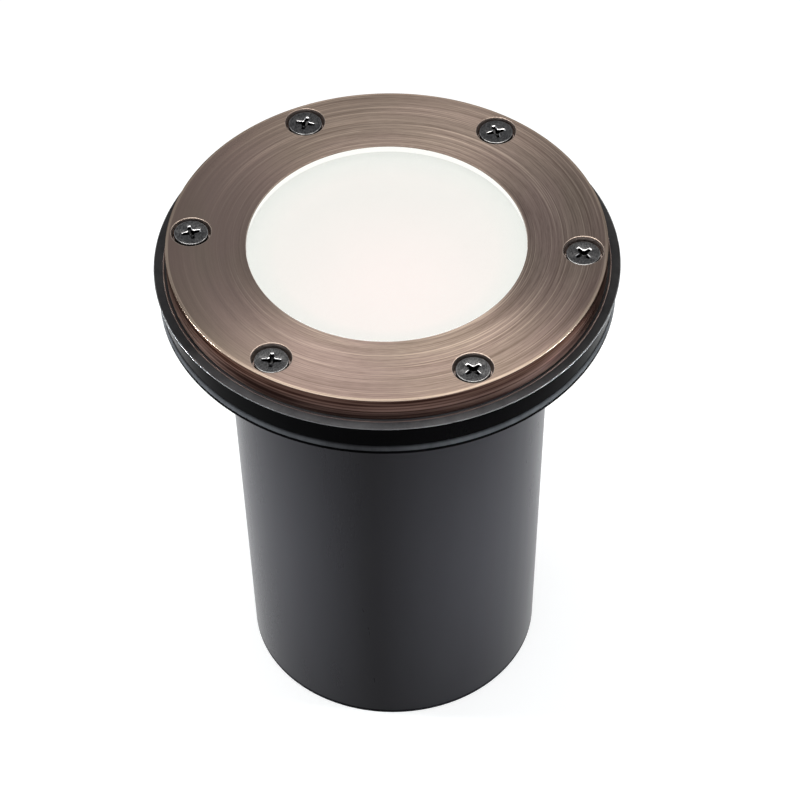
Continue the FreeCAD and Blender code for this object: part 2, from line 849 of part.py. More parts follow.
def make_yoke():
    """Bent steel strap: a base on the swivel and two arms up to the lamp's pivots."""
    body = new_body("yoke")
    inner = dim("yoke_inside") / 2
    outer = inner + dim("yoke_sheet")
    half_width = dim("yoke_width") / 2
    crown = PIVOT + half_width
    strap = new_sketch(body, "StrapOutline")
    outline(strap, [
        (-outer, YOKE_UNDER),
        (outer, YOKE_UNDER),
        (outer, crown),
        (inner, crown),
        (inner, YOKE_FLOOR),
        (-inner, YOKE_FLOOR),
        (-inner, crown),
        (-outer, crown),
    ])
    padded(body, strap, "Strap", dim("yoke_width"), both_ways=True)
    bends = straight_edges(body.Tip, lambda p: close(p.z, YOKE_UNDER) and close(abs(p.x), outer))
    rounded(body, bends, "OuterBends", dim("yoke_bend"))
    bends = straight_edges(body.Tip, lambda p: close(p.z, YOKE_FLOOR) and close(abs(p.x), inner))
    rounded(body, bends, "InnerBends", dim("yoke_bend") - dim("yoke_sheet"))
    tips = straight_edges(body.Tip, lambda p: close(p.z, crown) and close(abs(p.y), half_width))
    rounded(body, tips, "ArmTips", dim("arm_tip_round"))

    hole = new_sketch(body, "SwivelHoleOutline", "XY_Plane", YOKE_FLOOR)
    circle(hole, ZERO, ZERO, dim("yoke_hole_dia"))
    pocketed(body, hole, "SwivelHole", dim("yoke_sheet"))
    pivot = new_sketch(body, "PivotHoleOutline", "YZ_Plane")
    circle(pivot, ZERO, PIVOT, dim("pivot_hole_dia"))
    pocketed(body, pivot, "PivotHoles", outer * 2, both_ways=True)
    return body


def sideways_pair(name, profile):
    """Two turned pieces that face each other across the lamp, from (radius, distance) points."""
    master = new_body(name[:-1])
    revolved(master, profile)
    group = []
    for k, side in enumerate((90.0, -90.0), start=1):
        link = linked(f"{name}_{k}", master)
        bind(link, "Placement.Base.z", PIVOT)
        link.Placement.Rotation = FreeCAD.Rotation(FreeCAD.Vector(0, 1, 0), side)
        group.append(link)
    return compound(name, group)


def make_pivot_washers():
    """Friction washers between the yoke's arms and the gimbal ring's lugs."""
    bore = dim("pivot_hole_dia") / 2
    outer = dim("pivot_washer_dia") / 2
    near = dim("yoke_inside") / 2 - dim("pivot_washer_thick")
    far = dim("yoke_inside") / 2
    return sideways_pair("pivot_washers", [(bore, near), (outer, near), (outer, far), (bore, far)])


def make_pivot_pins():
    """Shoulder rivets fixed in the gimbal ring's lugs, turning in the yoke's arms."""
    pin = dim("pivot_pin_dia") / 2
    head = dim("pivot_head_dia") / 2
    near = dim("pivot_pin_start")
    seat = dim("yoke_inside") / 2 + dim("yoke_sheet") + dim("swivel_gap")
    end = seat + dim("pivot_head_thick")
    return sideways_pair("pivot_pins", [
        (ZERO, near),
        (pin, near),
        (pin, seat),
        (head, seat),
        (head, end),
        (ZERO, end),
    ])


# ---------------------------------------------------------------- lamp carrier


def make_gimbal_ring():
    """Ring that holds the lamp by its rim, with a lip below, a clip groove above and two lugs."""
    body = new_body("gimbal_ring")
    outer = dim("gimbal_dia") / 2
    bore = dim("gimbal_bore_dia") / 2
    lip = dim("gimbal_lip_dia") / 2
    crest = GIMBAL_UNDER + dim("gimbal_height")
    groove = bore + dim("clip_groove_depth")
    groove_low = LAMP_FACE + dim("clip_fit")
    groove_high = groove_low + dim("clip_height")
    revolved(body, [
        (lip, GIMBAL_UNDER),
        (outer, GIMBAL_UNDER),
        (outer, crest),
        (bore, crest),
        (bore, groove_high),
        (groove, groove_high),
        (groove, groove_low),
        (bore, groove_low),
        (bore, LAMP_SEAT),
        (lip, LAMP_SEAT),
    ], "Ring")
    root = dim("lug_root")
    length = dim("lug_reach") - root
    for name, lift, away in (("RightLug", root, False), ("LeftLug", -root, True)):
        lug = new_sketch(body, name + "Outline", "YZ_Plane", lift)
        circle(lug, ZERO, PIVOT, dim("lug_dia"))
        padded(body, lug, name, length, down=away)
    hole = new_sketch(body, "PinHoleOutline", "YZ_Plane")
    circle(hole, ZERO, PIVOT, dim("pivot_pin_dia"))
    pocketed(body, hole, "PinHoles", dim("lug_reach") * 2, both_ways=True)
    return body


def make_lamp_clip():
    """Open spring ring that snaps in above the lamp's rim."""
    body = new_body("lamp_clip")
    low = LAMP_FACE + dim("clip_fit")
    outer = dim("clip_dia") / 2
    section = new_sketch(body, "Section")
    rectangle(section, outer - dim("clip_width"), low, outer, low + dim("clip_height"))
    ring = body.newObject("PartDesign::Revolution", "Ring")
    ring.Profile = section
    ring.ReferenceAxis = (section, ["V_Axis"])
    ring.setExpression("Angle", "360 - Sizes.clip_open")
    DOC.recompute()
    return body


def make_lamp_body():
    """Cast heat sink of the reflector lamp: a rim, a cone of fins and a neck."""
    body = new_body("lamp_body")
    rim = dim("lamp_rim_dia") / 2
    neck = dim("lamp_neck_dia") / 2
    bevel = dim("lamp_neck_bevel")
    cup = dim("optic_dia") / 2 + dim("optic_fit")
    cup_floor = LAMP_FACE - dim("optic_thick") - dim("optic_gap")
    revolved(body, [
        (ZERO, LAMP_NECK),
        (neck - bevel, LAMP_NECK),
        (neck, LAMP_NECK + bevel),
        (neck, LAMP_NECK + dim("lamp_neck_rise")),
        (dim("lamp_waist_dia") / 2, LAMP_NECK + dim("lamp_waist_rise")),
        (dim("lamp_shoulder_dia") / 2, LAMP_SEAT - dim("lamp_shoulder_drop")),
        (dim("lamp_throat_dia") / 2, LAMP_SEAT),
        (rim, LAMP_SEAT),
        (rim, LAMP_FACE),
        (cup, LAMP_FACE),
        (cup, cup_floor),
        (ZERO, cup_floor),
    ], "Cone")
    foot = LAMP_NECK + dim("fin_foot_rise")
    head = LAMP_SEAT - dim("fin_head_drop")
    gap = new_sketch(body, "FinGapOutline")
    outline(gap, [
        (dim("fin_foot_dia") / 2, foot),
        (rim, foot),
        (rim, head),
        (dim("fin_head_dia") / 2, head),
    ])
    gaps = pocketed(body, gap, "FinGap", dim("fin_gap"), both_ways=True)
    polar(body, [gaps], "FinGaps", dim("fin_count"))
    return body


def make_lamp_optic():
    """Moulded lens in the lamp's face."""
    body = new_body("lamp_optic")
    outer = dim("optic_dia") / 2
    foot = LAMP_FACE - dim("optic_thick")
    revolved(body, [(ZERO, foot), (outer, foot), (outer, LAMP_FACE), (ZERO, LAMP_FACE)])
    bevel_edge(body, "FaceBevel", outer * 2, LAMP_FACE, dim("optic_bevel"))
    return body


def block(name, long, wide, foot, height):
    """A block with rounded corners, centred on the lamp's axis."""
    body = new_body(name)
    section = new_sketch(body, "Section", "XY_Plane", foot)
    rectangle(section, -(long / 2), -(wide / 2), long / 2, wide / 2)
    padded(body, section, "Block", height)
    corners = straight_edges(
        body.Tip, lambda p: close(abs(p.x), long / 2) and close(abs(p.y), wide / 2)
    )
    rounded(body, corners, "Corners", dim("block_round"))
    return body


def make_lamp_base():
    """Plastic plug of the lamp, from which its two pins stand."""
    body = block("lamp_base", dim("lamp_base_long"), dim("lamp_base_wide"),
                 LAMP_BASE_UNDER, dim("lamp_base_height"))
    pin_holes(body, LAMP_BASE_UNDER, dim("pin_dia"), dim("pin_root"))
    return body


def pin_holes(body, foot, diameter, depth):
    """Two holes up into a block, at the spacing of the lamp's pins."""
    holes = new_sketch(body, "PinHoleOutline", "XY_Plane", foot)
    for side in (1, -1):
        circle(holes, dim("pin_spacing") / 2 * side, ZERO, diameter)
    pocketed(body, holes, "PinHoles", depth, up=True)


def pair_along_lamp(name, profile):
    """Two turned pieces side by side at the spacing of the lamp's pins."""
    master = new_body(name[:-1])
    revolved(master, profile)
    group = []
    for k, side in enumerate((1, -1), start=1):
        link = linked(f"{name}_{k}", master)
        bind(link, "Placement.Base.x", dim("pin_spacing") / 2 * side)
        group.append(link)
    return compound(name, group)


def make_lamp_pins():
    """Two contact pins, with bevelled tips."""
    pin = dim("pin_dia") / 2
    foot = LAMP_BASE_UNDER - dim("pin_length")
    crest = LAMP_BASE_UNDER + dim("pin_root")
    return pair_along_lamp("lamp_pins", [
        (ZERO, foot),
        (dim("pin_tip_dia") / 2, foot),
        (pin, foot + dim("pin_tip")),
        (pin, crest),
        (ZERO, crest),
    ])


def make_lamp_socket():
    """Ceramic holder pushed on to the lamp's pins."""
    foot = SOCKET_TOP - dim("socket_height")
    body = block("lamp_socket", dim("socket_long"), dim("socket_wide"), foot, dim("socket_height"))
    pin_holes(body, foot, dim("contact_dia"), dim("socket_height"))
    return body


def make_socket_contacts():
    """Sprung sleeves that grip the pins and take the leads from below."""
    crest = SOCKET_TOP - dim("contact_sink")
    foot = SOCKET_TOP - dim("socket_height") + dim("contact_sink")
    bore = dim("contact_bore_dia") / 2
    outer = dim("contact_dia") / 2
    return pair_along_lamp("socket_contacts", [
        (bore, foot),
        (outer, foot),
        (outer, crest),
        (bore, crest),
    ])


# ---------------------------------------------------------------- all of it


def build():
    return [
        make_housing(),
        make_flange(),
        make_bulkhead(),
        make_threaded_inserts(),
        make_lens_gasket(),
        make_gland_body(),
        make_gland_washer(),
        make_gland_locknut(),
        make_gland_seal(),
        make_gland_nut(),
        make_swivel_post(),
        make_post_screw(),
        make_swivel_screw(),
        make_swivel_washer(),
        make_face_ring(),
        make_lens(),
        make_lens_seal(),
        make_cover_screws(),
        make_yoke(),
        make_pivot_washers(),
        make_pivot_pins(),
        make_gimbal_ring(),
        make_lamp_clip(),
        make_lamp_body(),
        make_lamp_optic(),
        make_lamp_base(),
        make_lamp_pins(),
        make_lamp_socket(),
        make_socket_contacts(),
    ]


def check(pieces):
    """Stops on a failed object, or a piece with no valid solid."""
    for thing in DOC.Objects:
        if any(word in thing.State for word in ("Invalid", "Error")):
            raise RuntimeError(f"{thing.Name} failed: {thing.State}")
    for piece in pieces:
        shape = piece.Shape
        if shape.isNull() or not shape.isValid() or not shape.Solids:
            raise RuntimeError(f"{piece.Label} has no valid solid")


def export(pieces):
    os.makedirs("parts", exist_ok=True)
    for piece in pieces:
        piece.Shape.exportStep(f"parts/{piece.Label}.step")
        solids = len(piece.Shape.Solids)
        print(f"{piece.Label}: {solids} solid(s), {piece.Shape.Volume / 1000:.2f} cm3")


PIECES = build()
DOC.recompute()
check(PIECES)
export(PIECES)
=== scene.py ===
"""Looks of the in-ground well light, on the CAD model's frame.

The pieces are sized in millimetres, and the lamps and the camera stand in metres."""

import math

import bmesh
import bpy
from mathutils import Matrix, Vector


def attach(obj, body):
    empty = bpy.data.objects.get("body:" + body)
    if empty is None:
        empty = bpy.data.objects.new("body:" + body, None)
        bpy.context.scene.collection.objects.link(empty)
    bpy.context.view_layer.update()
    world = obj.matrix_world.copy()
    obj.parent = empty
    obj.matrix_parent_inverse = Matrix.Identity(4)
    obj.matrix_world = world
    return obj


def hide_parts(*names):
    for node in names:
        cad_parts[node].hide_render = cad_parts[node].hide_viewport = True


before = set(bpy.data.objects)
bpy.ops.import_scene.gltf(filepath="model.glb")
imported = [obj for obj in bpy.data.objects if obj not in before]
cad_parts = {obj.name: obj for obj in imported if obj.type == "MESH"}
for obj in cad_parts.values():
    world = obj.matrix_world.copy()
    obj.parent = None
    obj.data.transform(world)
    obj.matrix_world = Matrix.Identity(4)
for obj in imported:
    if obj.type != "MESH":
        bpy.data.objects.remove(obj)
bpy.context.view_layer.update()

MM = 0.001
SECTORS = 6
SECTOR = 60.0  # degrees from one cover screw to the next

# Heights and radii that the pieces made here share with the CAD model, in millimetres.
TOP = 158.5
RING_R = 63.0
RING_UNDER = 151.5
RABBET_R = 49.3
RABBET_TOP = 154.1
SCREW_CIRCLE_R = 56.0
COUNTERBORE_R = 5.7
COUNTERBORE_FLOOR = 154.8
SCREW_HOLE_R = 2.7
SCREW_HEAD_R = 4.9
SCREW_HEAD_TOP = 158.1
SHANK_R = 2.45
SCREW_TIP = 141.8
LENS_TOP = 158.3
LENS_RIM_TOP = 153.7
LENS_RIM_R = 48.8
LENS_UNDER = 151.5
FLANGE_FACE = 151.0
FLANGE_LOW = 139.0
PLATE_UNDER = 147.4
FLANGE_R = 66.7
BEAD_TOP = 143.0
BODY_TOP_R = 47.4
BODY_FOOT_R = 42.9
MOUTH_R = 44.4
SHELF = 44.0
RECESS_TOP_R = 39.2
RECESS_FOOT_R = 39.7

# The window's edge and the step of the glass in it, as they are drawn here.
WINDOW_R = 40.12
LENS_STEP_R = 40.0
LENS_STEP_EDGE = 0.3
LENS_HUB_R = 0.4  # the discs of the lens close to their middle from here

# The ring's outer edge: a bright band beside it, with edge wear and a painted highlight, and a
# skirt that hangs below the ring.
RING_EDGE = 0.12
BAND_START = 0.70
BAND_STEP = 0.35
RING_SKIRT = 151.1
SKIRT_WIDTH = 1.0
SKIRT_EDGE = 0.15

# The ring's face falls away towards its outer edge: from this radius, and how fast, per metre.
CROWN_R = 61.0
CROWN_FALL = 28.0
CROWN_DEPTH = 1.0  # only what lies this close to the top falls

# Beads on the flange's face: radius from the axis, height and size.
INNER_BEAD = (63.85, 151.05, 0.24)
EDGE_BEAD = (FLANGE_R - 0.20, FLANGE_FACE - 0.10, 0.20)

# The flange's lower bead is painted paler, as painted light, from BEAD_TOP down, and is palest
# from here.
BEAD_FULL = 141.9

# The foot's rounding, the height of its darker band of painted shade, and the rounding of the
# tube's other edges.
FOOT_EDGE = 1.4
FOOT_BAND = 2.0
TUBE_EDGE = 0.2
WALL_FOOT_R = 41.12  # inside the tube, at the shelf

# Cover screws: how each cross is turned, in degrees, and how far each head stands above its
# height in the CAD model, or below it.
SCREW_TURNS = (42.0, 22.0, 81.0, 21.0, 1.0, 47.0)
SCREW_LIFTS = (-0.6, 0.0, -0.12, 0.22, -0.5, -0.15)
HEAD_EDGE = 0.24
HEAD_MARGIN = 0.1
HEAD_UNDER_EDGE = 0.1
CROSS_TIP = 1.85
THREAD_ROOT_R = 2.12
THREAD_PITCH = 0.8

# The cross recess, from the face down: depth, arm, half width, heart.
CROSS_LEVELS = (
    (0.0, 2.80, 0.66, 1.12),
    (0.04, 2.68, 0.58, 1.04),
    (0.11, 2.52, 0.50, 0.95),
    (0.32, 2.44, 0.48, 0.92),
    (1.0, 2.20, 0.44, 0.86),
    (1.6, 1.15, 0.34, 0.62),
)
GLINT_LEVELS = 3  # the recess's walls with a painted highlight where they face the front, from the face down

ROUND_STEPS = 192  # round the lens and the tube
BEAD_STEPS = 240

BRASS_GRAIN = 0.008  # the brushed lines' depth in millimetres

# The floor's glow and grey, its half width in metres and its drop below the foot in millimetres.
FLOOR_GLOW = 0.71
FLOOR_GREY = 0.50
FLOOR_HALF = 12.0
FLOOR_DROP = 0.05

# The world's strength on the object, and where the camera sees it past the floor.
WORLD_LIGHT = 0.45
WORLD_SEEN = 0.92
WORLD_COLOUR = (0.95, 0.97, 1.0)

# The camera, fitted to the photograph: metres and radians, and the focal length in its pixels.
CAMERA_DISTANCE = 1.18384
CAMERA_ELEVATION = 0.766833
CAMERA_AZIMUTH = math.radians(5.6)
CAMERA_PAN, CAMERA_TILT, CAMERA_ROLL = -0.0024174, -0.0381987, 0.0206982
FOCAL_PX = 4161.06
PHOTO_PX = 800.0
SENSOR = 36.0


# ---------------------------------------------------------------- shaping


class Shell:
    """Faces with corners of their own; corners that meet are merged when the piece is done."""

    def __init__(self, name):
        self.name = name
        self.bm = bmesh.new()

    def face(self, points, material):
        made = self.bm.faces.new([self.bm.verts.new(Vector(p) * MM) for p in points])
        made.material_index = material
        made.smooth = True

    def strip(self, low, high, material):
        """Quads between two closed loops of as many points."""
        count = len(low)
        for k in range(count):
            n = (k + 1) % count
            self.face([low[k], low[n], high[n], high[k]], material)

    def cap(self, loop, centre, material):
        """Triangles from a closed loop to one point."""
        count = len(loop)
        for k in range(count):
            self.face([loop[k], loop[(k + 1) % count], centre], material)

    def turned(self, profile, angles, materials, centre=(0.0, 0.0)):
        """A lathe shape: profile is (radius, height) points, angles are in degrees."""
        loops = [ring(radius, height, angles, centre) for radius, height in profile]
        for low, high, material in zip(loops, loops[1:], materials):
            self.strip(low, high, material)
        return loops

    def done(self, body, materials, replaces=(), sharp=32.0):
        """Merges and shades the mesh, and puts the piece in the scene on its body."""
        bm = self.bm
        bmesh.ops.remove_doubles(bm, verts=bm.verts, dist=1e-6)
        bmesh.ops.dissolve_degenerate(bm, dist=1e-7, edges=bm.edges)
        bmesh.ops.recalc_face_normals(bm, faces=bm.faces)
        for edge in bm.edges:
            if len(edge.link_faces) == 2 and edge.calc_face_angle() > math.radians(sharp):
                edge.smooth = False
        mesh = bpy.data.meshes.new(self.name)
        bm.to_mesh(mesh)
        bm.free()
        for material in materials:
            mesh.materials.append(material)
        piece = bpy.data.objects.new(self.name, mesh)
        bpy.context.scene.collection.objects.link(piece)
        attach(piece, body)
        if replaces:
            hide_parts(*replaces)


def on_circle(radius, degrees):
    return radius * math.cos(math.radians(degrees)), radius * math.sin(math.radians(degrees))


def ring(radius, height, angles, centre):
    points = [on_circle(radius, a) for a in angles]
    return [(centre[0] + x, centre[1] + y, height) for x, y in points]


def even_angles(count):
    return [360.0 * k / count for k in range(count)]


def sector_angles(steps):
    """Angles that start on a line between two screws, with as many steps in each sector."""
    return [
        SECTOR * k - SECTOR / 2 + SECTOR * j / steps for k in range(SECTORS) for j in range(steps)
    ]


def spread(start, end, steps):
    return [start + (end - start) * k / steps for k in range(steps)]


def softened(points, radii, steps):
    """The profile with its inner corners rounded; radii has one radius for each point."""
    out = []
    last = len(points) - 1
    for k, (point, radius) in enumerate(zip(points, radii)):
        here = Vector(point)
        if radius <= 0 or k in (0, last):
            out.append((here.x, here.y))
            continue
        to_before = (Vector(points[k - 1]) - here).normalized()
        to_after = (Vector(points[k + 1]) - here).normalized()
        half = to_before.angle(to_after) / 2
        cut = radius / math.tan(half)
        centre = here + (to_before + to_after).normalized() * (radius / math.sin(half))
        start = here + to_before * cut - centre
        end = here + to_after * cut - centre
        swing = start.angle_signed(end)
        for j in range(steps + 1):
            turned = start.copy()
            turned.rotate(Matrix.Rotation(-swing * j / steps, 2))
            out.append((centre.x + turned.x, centre.y + turned.y))
    return out


def pierced(shell, low_r, high_r, height, hole_r, steps, material, rows=1):
    """A flat ring with a hole in each sector: steps along its inside, outside and the sectors'
    sides. Returns the angles of the holes' corners."""
    inside, outside, side = steps
    half = SECTOR / 2
    edge = [(high_r, a) for a in spread(-half, half, outside)]
    edge += [(r, half) for r in spread(high_r, low_r, side)]
    edge += [(low_r, a) for a in spread(half, -half, inside)]
    edge += [(r, -half) for r in spread(low_r, high_r, side)]
    outer = [on_circle(r, a) for r, a in edge]
    angles = [math.degrees(math.atan2(y, x - SCREW_CIRCLE_R)) for x, y in outer]
    inner = [(SCREW_CIRCLE_R + x, y) for x, y in (on_circle(hole_r, a) for a in angles)]
    loops = []
    for row in range(rows + 1):
        loops.append([
            (i[0] + (o[0] - i[0]) * row / rows, i[1] + (o[1] - i[1]) * row / rows)
            for i, o in zip(inner, outer)
        ])
    for k in range(SECTORS):
        turn = math.radians(SECTOR * k)
        for near, far in zip(loops, loops[1:]):
            low, high = turned_points(near, turn, height), turned_points(far, turn, height)
            shell.strip(low, high, material)
    return angles


def turned_points(points, turn, height):
    c, s = math.cos(turn), math.sin(turn)
    return [(x * c - y * s, x * s + y * c, height) for x, y in points]


def screw_centre(k):
    return on_circle(SCREW_CIRCLE_R, SECTOR * k)


# ---------------------------------------------------------------- materials


def feed(tree, socket, value):
    """Sets a socket from another socket, or from a plain value."""
    if isinstance(value, bpy.types.NodeSocket):
        tree.links.new(value, socket)
    else:
        socket.default_value = value


def calc(tree, operation, a, b=0.0, c=0.0, clamp=False):
    made = tree.nodes.new("ShaderNodeMath")
    made.operation = operation
    made.use_clamp = clamp
    for socket, value in zip(made.inputs, (a, b, c)):
        feed(tree, socket, value)
    return made.outputs[0]


class Finish:
    """A node material round one Principled shader."""

    def __init__(self, name, **sockets):
        self.material = bpy.data.materials.new(name)
        self.material.use_nodes = True
        self.tree = self.material.node_tree
        self.tree.nodes.clear()
        output = self.node("ShaderNodeOutputMaterial")
        self.shader = self.node("ShaderNodeBsdfPrincipled")
        self.feed(output.inputs["Surface"], self.shader.outputs[0])
        for key, value in sockets.items():
            self.shader.inputs[key.replace("_", " ")].default_value = value
        self.place = self.node("ShaderNodeTexCoord").outputs["Object"]

    def node(self, kind, **settings):
        made = self.tree.nodes.new(kind)
        for key, value in settings.items():
            setattr(made, key, value)
        return made

    def feed(self, socket, value):
        feed(self.tree, socket, value)

    def set(self, name, value):
        self.feed(self.shader.inputs[name], value)

    def calc(self, operation, a, b=0.0, c=0.0, clamp=False):
        return calc(self.tree, operation, a, b, c, clamp)

    def plus(self, a, b, clamp=False):
        return self.calc("ADD", a, b, clamp=clamp)

    def minus(self, a, b):
        return self.calc("SUBTRACT", a, b)

    def times(self, a, b):
        return self.calc("MULTIPLY", a, b)

    def length(self, x, y):
        return self.calc("SQRT", self.plus(self.times(x, x), self.times(y, y)))

    def noise(self, place, scale, detail=3.0, roughness=0.5):
        made = self.node("ShaderNodeTexNoise")
        self.feed(made.inputs["Vector"], place)
        made.inputs["Scale"].default_value = scale
        made.inputs["Detail"].default_value = detail
        made.inputs["Roughness"].default_value = roughness
        return made.outputs["Fac"]

    def between(self, fac, low, high, to_low=0.0, to_high=1.0):
        """fac from low..high to to_low..to_high, held at the ends."""
        made = self.node("ShaderNodeMapRange")
        self.feed(made.inputs["Value"], fac)
        limits = {"From Min": low, "From Max": high, "To Min": to_low, "To Max": to_high}
        for name, value in limits.items():
            self.feed(made.inputs[name], value)
        return made.outputs["Result"]

    def blend(self, fac, a, b):
        """From colour a to colour b, each a socket or plain red, green and blue."""
        made = self.node("ShaderNodeMix", data_type="RGBA")
        self.feed(made.inputs["Factor"], fac)
        for name, value in (("A", a), ("B", b)):
            socket = next(s for s in made.inputs if s.name == name and s.type == "RGBA")
            self.feed(socket, value if isinstance(value, bpy.types.NodeSocket) else (*value, 1.0))
        return next(s for s in made.outputs if s.type == "RGBA")

    def bump(self, height, strength, distance):
        """Relief; distance is in millimetres."""
        made = self.node("ShaderNodeBump")
        made.inputs["Strength"].default_value = strength
        made.inputs["Distance"].default_value = distance * MM
        self.feed(made.inputs["Height"], height)
        self.set("Normal", made.outputs["Normal"])

    def stretched(self, x, y, z):
        """The object's own place, scaled by axis."""
        made = self.node("ShaderNodeMapping")
        self.feed(made.inputs["Vector"], self.place)
        made.inputs["Scale"].default_value = (x, y, z)
        return made.outputs[0]

    def axes(self):
        made = self.node("ShaderNodeSeparateXYZ")
        self.feed(made.inputs[0], self.place)
        return made.outputs

    def radius(self):
        x, y, _ = self.axes()
        return self.length(x, y)

    def turned_on_lathe(self):
        """Tangents that run in circles about Z, as the brushing does."""
        tangent = self.node("ShaderNodeTangent", direction_type="RADIAL", axis="Z")
        self.set("Tangent", tangent.outputs[0])

    def lines(self, turns, across, lift=None, detail=1.0, roughness=0.5):
        """Noise that runs in circles about Z: slow along them, fast across them."""
        x, y, z = self.axes()
        r = self.radius()
        place = self.node("ShaderNodeCombineXYZ")
        self.feed(place.inputs[0], self.times(self.calc("DIVIDE", x, r), turns))
        self.feed(place.inputs[1], self.times(self.calc("DIVIDE", y, r), turns))
        total = self.times(self.minus(r, z), across)
        if lift is not None:
            total = self.plus(total, lift)
        self.feed(place.inputs[2], total)
        return self.noise(place.outputs[0], 1.0, detail, roughness)

    def mixed(self, noises, low, high):
        """The sum of (noise, share) pairs, each noise taken from low..high to its share."""
        (first, share), *others = noises
        tone = self.times(self.between(first, low, high), share)
        for noise, share in others:
            tone = self.calc("MULTIPLY_ADD", self.between(noise, low, high), share, tone)
        return tone


def brushed_brass():
    """Bronzed brass, brushed in circles: soft bands, fine lines and short strokes."""
    f = Finish("aged_brass", Metallic=1.0, Anisotropic=0.82, Anisotropic_Rotation=0.25)
    f.turned_on_lathe()
    broad = f.lines(0.9, 300.0)
    bands = f.lines(1.0, 1300.0, 7.0, roughness=0.45)
    fine = f.lines(1.8, 3100.0, 31.0)
    strokes = f.lines(13.0, 3100.0, 71.0, detail=2.0, roughness=0.6)
    hair = f.lines(0.8, 2700.0, 53.0, detail=0.0)
    hue = f.lines(1.4, 60.0, 90.0)
    tone = f.mixed(((broad, 0.12), (bands, 0.16), (fine, 0.43), (strokes, 0.29)), 0.36, 0.64)
    # The brushing is fainter towards -X.
    calm = f.between(f.axes()[0], -50 * MM, -10 * MM, 0.18, 1.0)
    tone = f.calc("MULTIPLY_ADD", f.minus(tone, 0.5), calm, 0.5)
    brown = f.blend(tone, (0.194, 0.147, 0.118), (0.376, 0.299, 0.246))
    pink = f.blend(tone, (0.208, 0.149, 0.128), (0.388, 0.295, 0.256))
    colour = f.blend(f.between(hue, 0.40, 0.62), brown, pink)
    # Single hairlines, light and dark, then painted shade that darkens the face towards the outer
    # edge.
    light = f.times(f.between(hair, 0.68, 0.73, 0.0, 0.6), calm)
    colour = f.blend(light, colour, (0.56, 0.45, 0.37))
    dark = f.times(f.between(hair, 0.31, 0.26, 0.0, 0.5), calm)
    colour = f.blend(dark, colour, (0.13, 0.09, 0.07))
    outer_shade = f.between(f.radius(), 54 * MM, 61 * MM, 0.0, 0.18)
    f.set("Base Color", f.blend(outer_shade, colour, (0.12, 0.08, 0.062)))
    f.set("Roughness", f.between(bands, 0.3, 0.7, 0.36, 0.45))
    grain = f.times(f.calc("MULTIPLY_ADD", bands, 0.6, f.times(fine, 0.6)), calm)
    f.bump(grain, 1.0, BRASS_GRAIN)
    return f.material


def edge_brass(name, dark, bright, rough, **sockets):
    """The same brass between a darker and a lighter tone along rub lines: edge wear, and on some
    pieces painted light.
    """
    f = Finish(name, Metallic=1.0, **sockets)
    f.turned_on_lathe()
    rub = f.lines(3.0, 3000.0, detail=3.0, roughness=0.6)
    f.set("Base Color", f.blend(f.between(rub, 0.35, 0.65), dark, bright))
    f.set("Roughness", f.between(rub, 0.3, 0.7, rough, rough + 0.1))
    return f.material


def side_brass():
    """The turned side of the ring: a darker, redder patina with lines round it, painted light low
    down and painted shade at both sides.
    """
    f = Finish("side_brass", Metallic=1.0, Anisotropic=0.4, Anisotropic_Rotation=0.25,
               Specular_Tint=(0.24, 0.19, 0.17, 1.0))
    f.turned_on_lathe()
    bands = f.lines(0.9, 700.0)
    streak = f.lines(1.2, 1700.0, 9.0)
    patch = f.lines(5.0, 300.0, 17.0, detail=2.0)
    tone = f.times(f.between(bands, 0.40, 0.60), 0.25)
    for noise, share in ((streak, 0.60), (patch, 0.15)):
        tone = f.calc("MULTIPLY_ADD", f.between(noise, 0.42, 0.58), share, tone)
    upper = f.blend(tone, (0.020, 0.009, 0.007), (0.118, 0.070, 0.057))
    lower = f.blend(tone, (0.084, 0.045, 0.038), (0.380, 0.240, 0.202))
    # Lighter towards the bottom: painted light that makes up for the shade next to the flange.
    colour = f.blend(f.between(f.axes()[2], 156.5 * MM, 152.5 * MM), upper, lower)
    # Darker at both sides of the ring, to -X and to +X: painted shade.
    x = f.axes()[0]
    left = f.between(x, -43 * MM, -53 * MM, 0.0, 0.62)
    right = f.between(x, 55 * MM, 60 * MM, 0.0, 0.62)
    sides = f.calc("MAXIMUM", left, right)
    f.set("Base Color", f.blend(sides, colour, (0.014, 0.009, 0.007)))
    f.set("Roughness", f.between(streak, 0.3, 0.7, 0.28, 0.38))
    f.bump(streak, 0.4, 0.02)
    return f.material


def black_steel():
    """Blackened screw heads with fine scratches."""
    f = Finish("black_steel", Metallic=1.0)
    grain = f.noise(f.place, 1500.0, roughness=0.6)
    lines = f.noise(f.stretched(2900.0, 1300.0, 800.0), 1.0, roughness=0.6)
    shade = f.between(lines, 0.38, 0.66)
    f.set("Base Color", f.blend(shade, (0.045, 0.045, 0.046), (0.130, 0.130, 0.132)))
    f.set("Roughness", f.between(grain, 0.3, 0.7, 0.32, 0.46))
    f.bump(f.plus(grain, lines), 0.3, 0.02)
    return f.material


def screw_steel(name, dark, bright):
    """The screws' steel, mottled: lighter for the heads' rims, with edge wear and a painted
    highlight, and for painted highlights on the crosses; near black for painted shade in their
    depth.
    """
    f = Finish(name, Metallic=1.0)
    rub = f.noise(f.place, 900.0, roughness=0.6)
    f.set("Base Color", f.blend(f.between(rub, 0.36, 0.56), dark, bright))
    f.set("Roughness", f.between(rub, 0.3, 0.7, 0.16, 0.30))
    return f.material


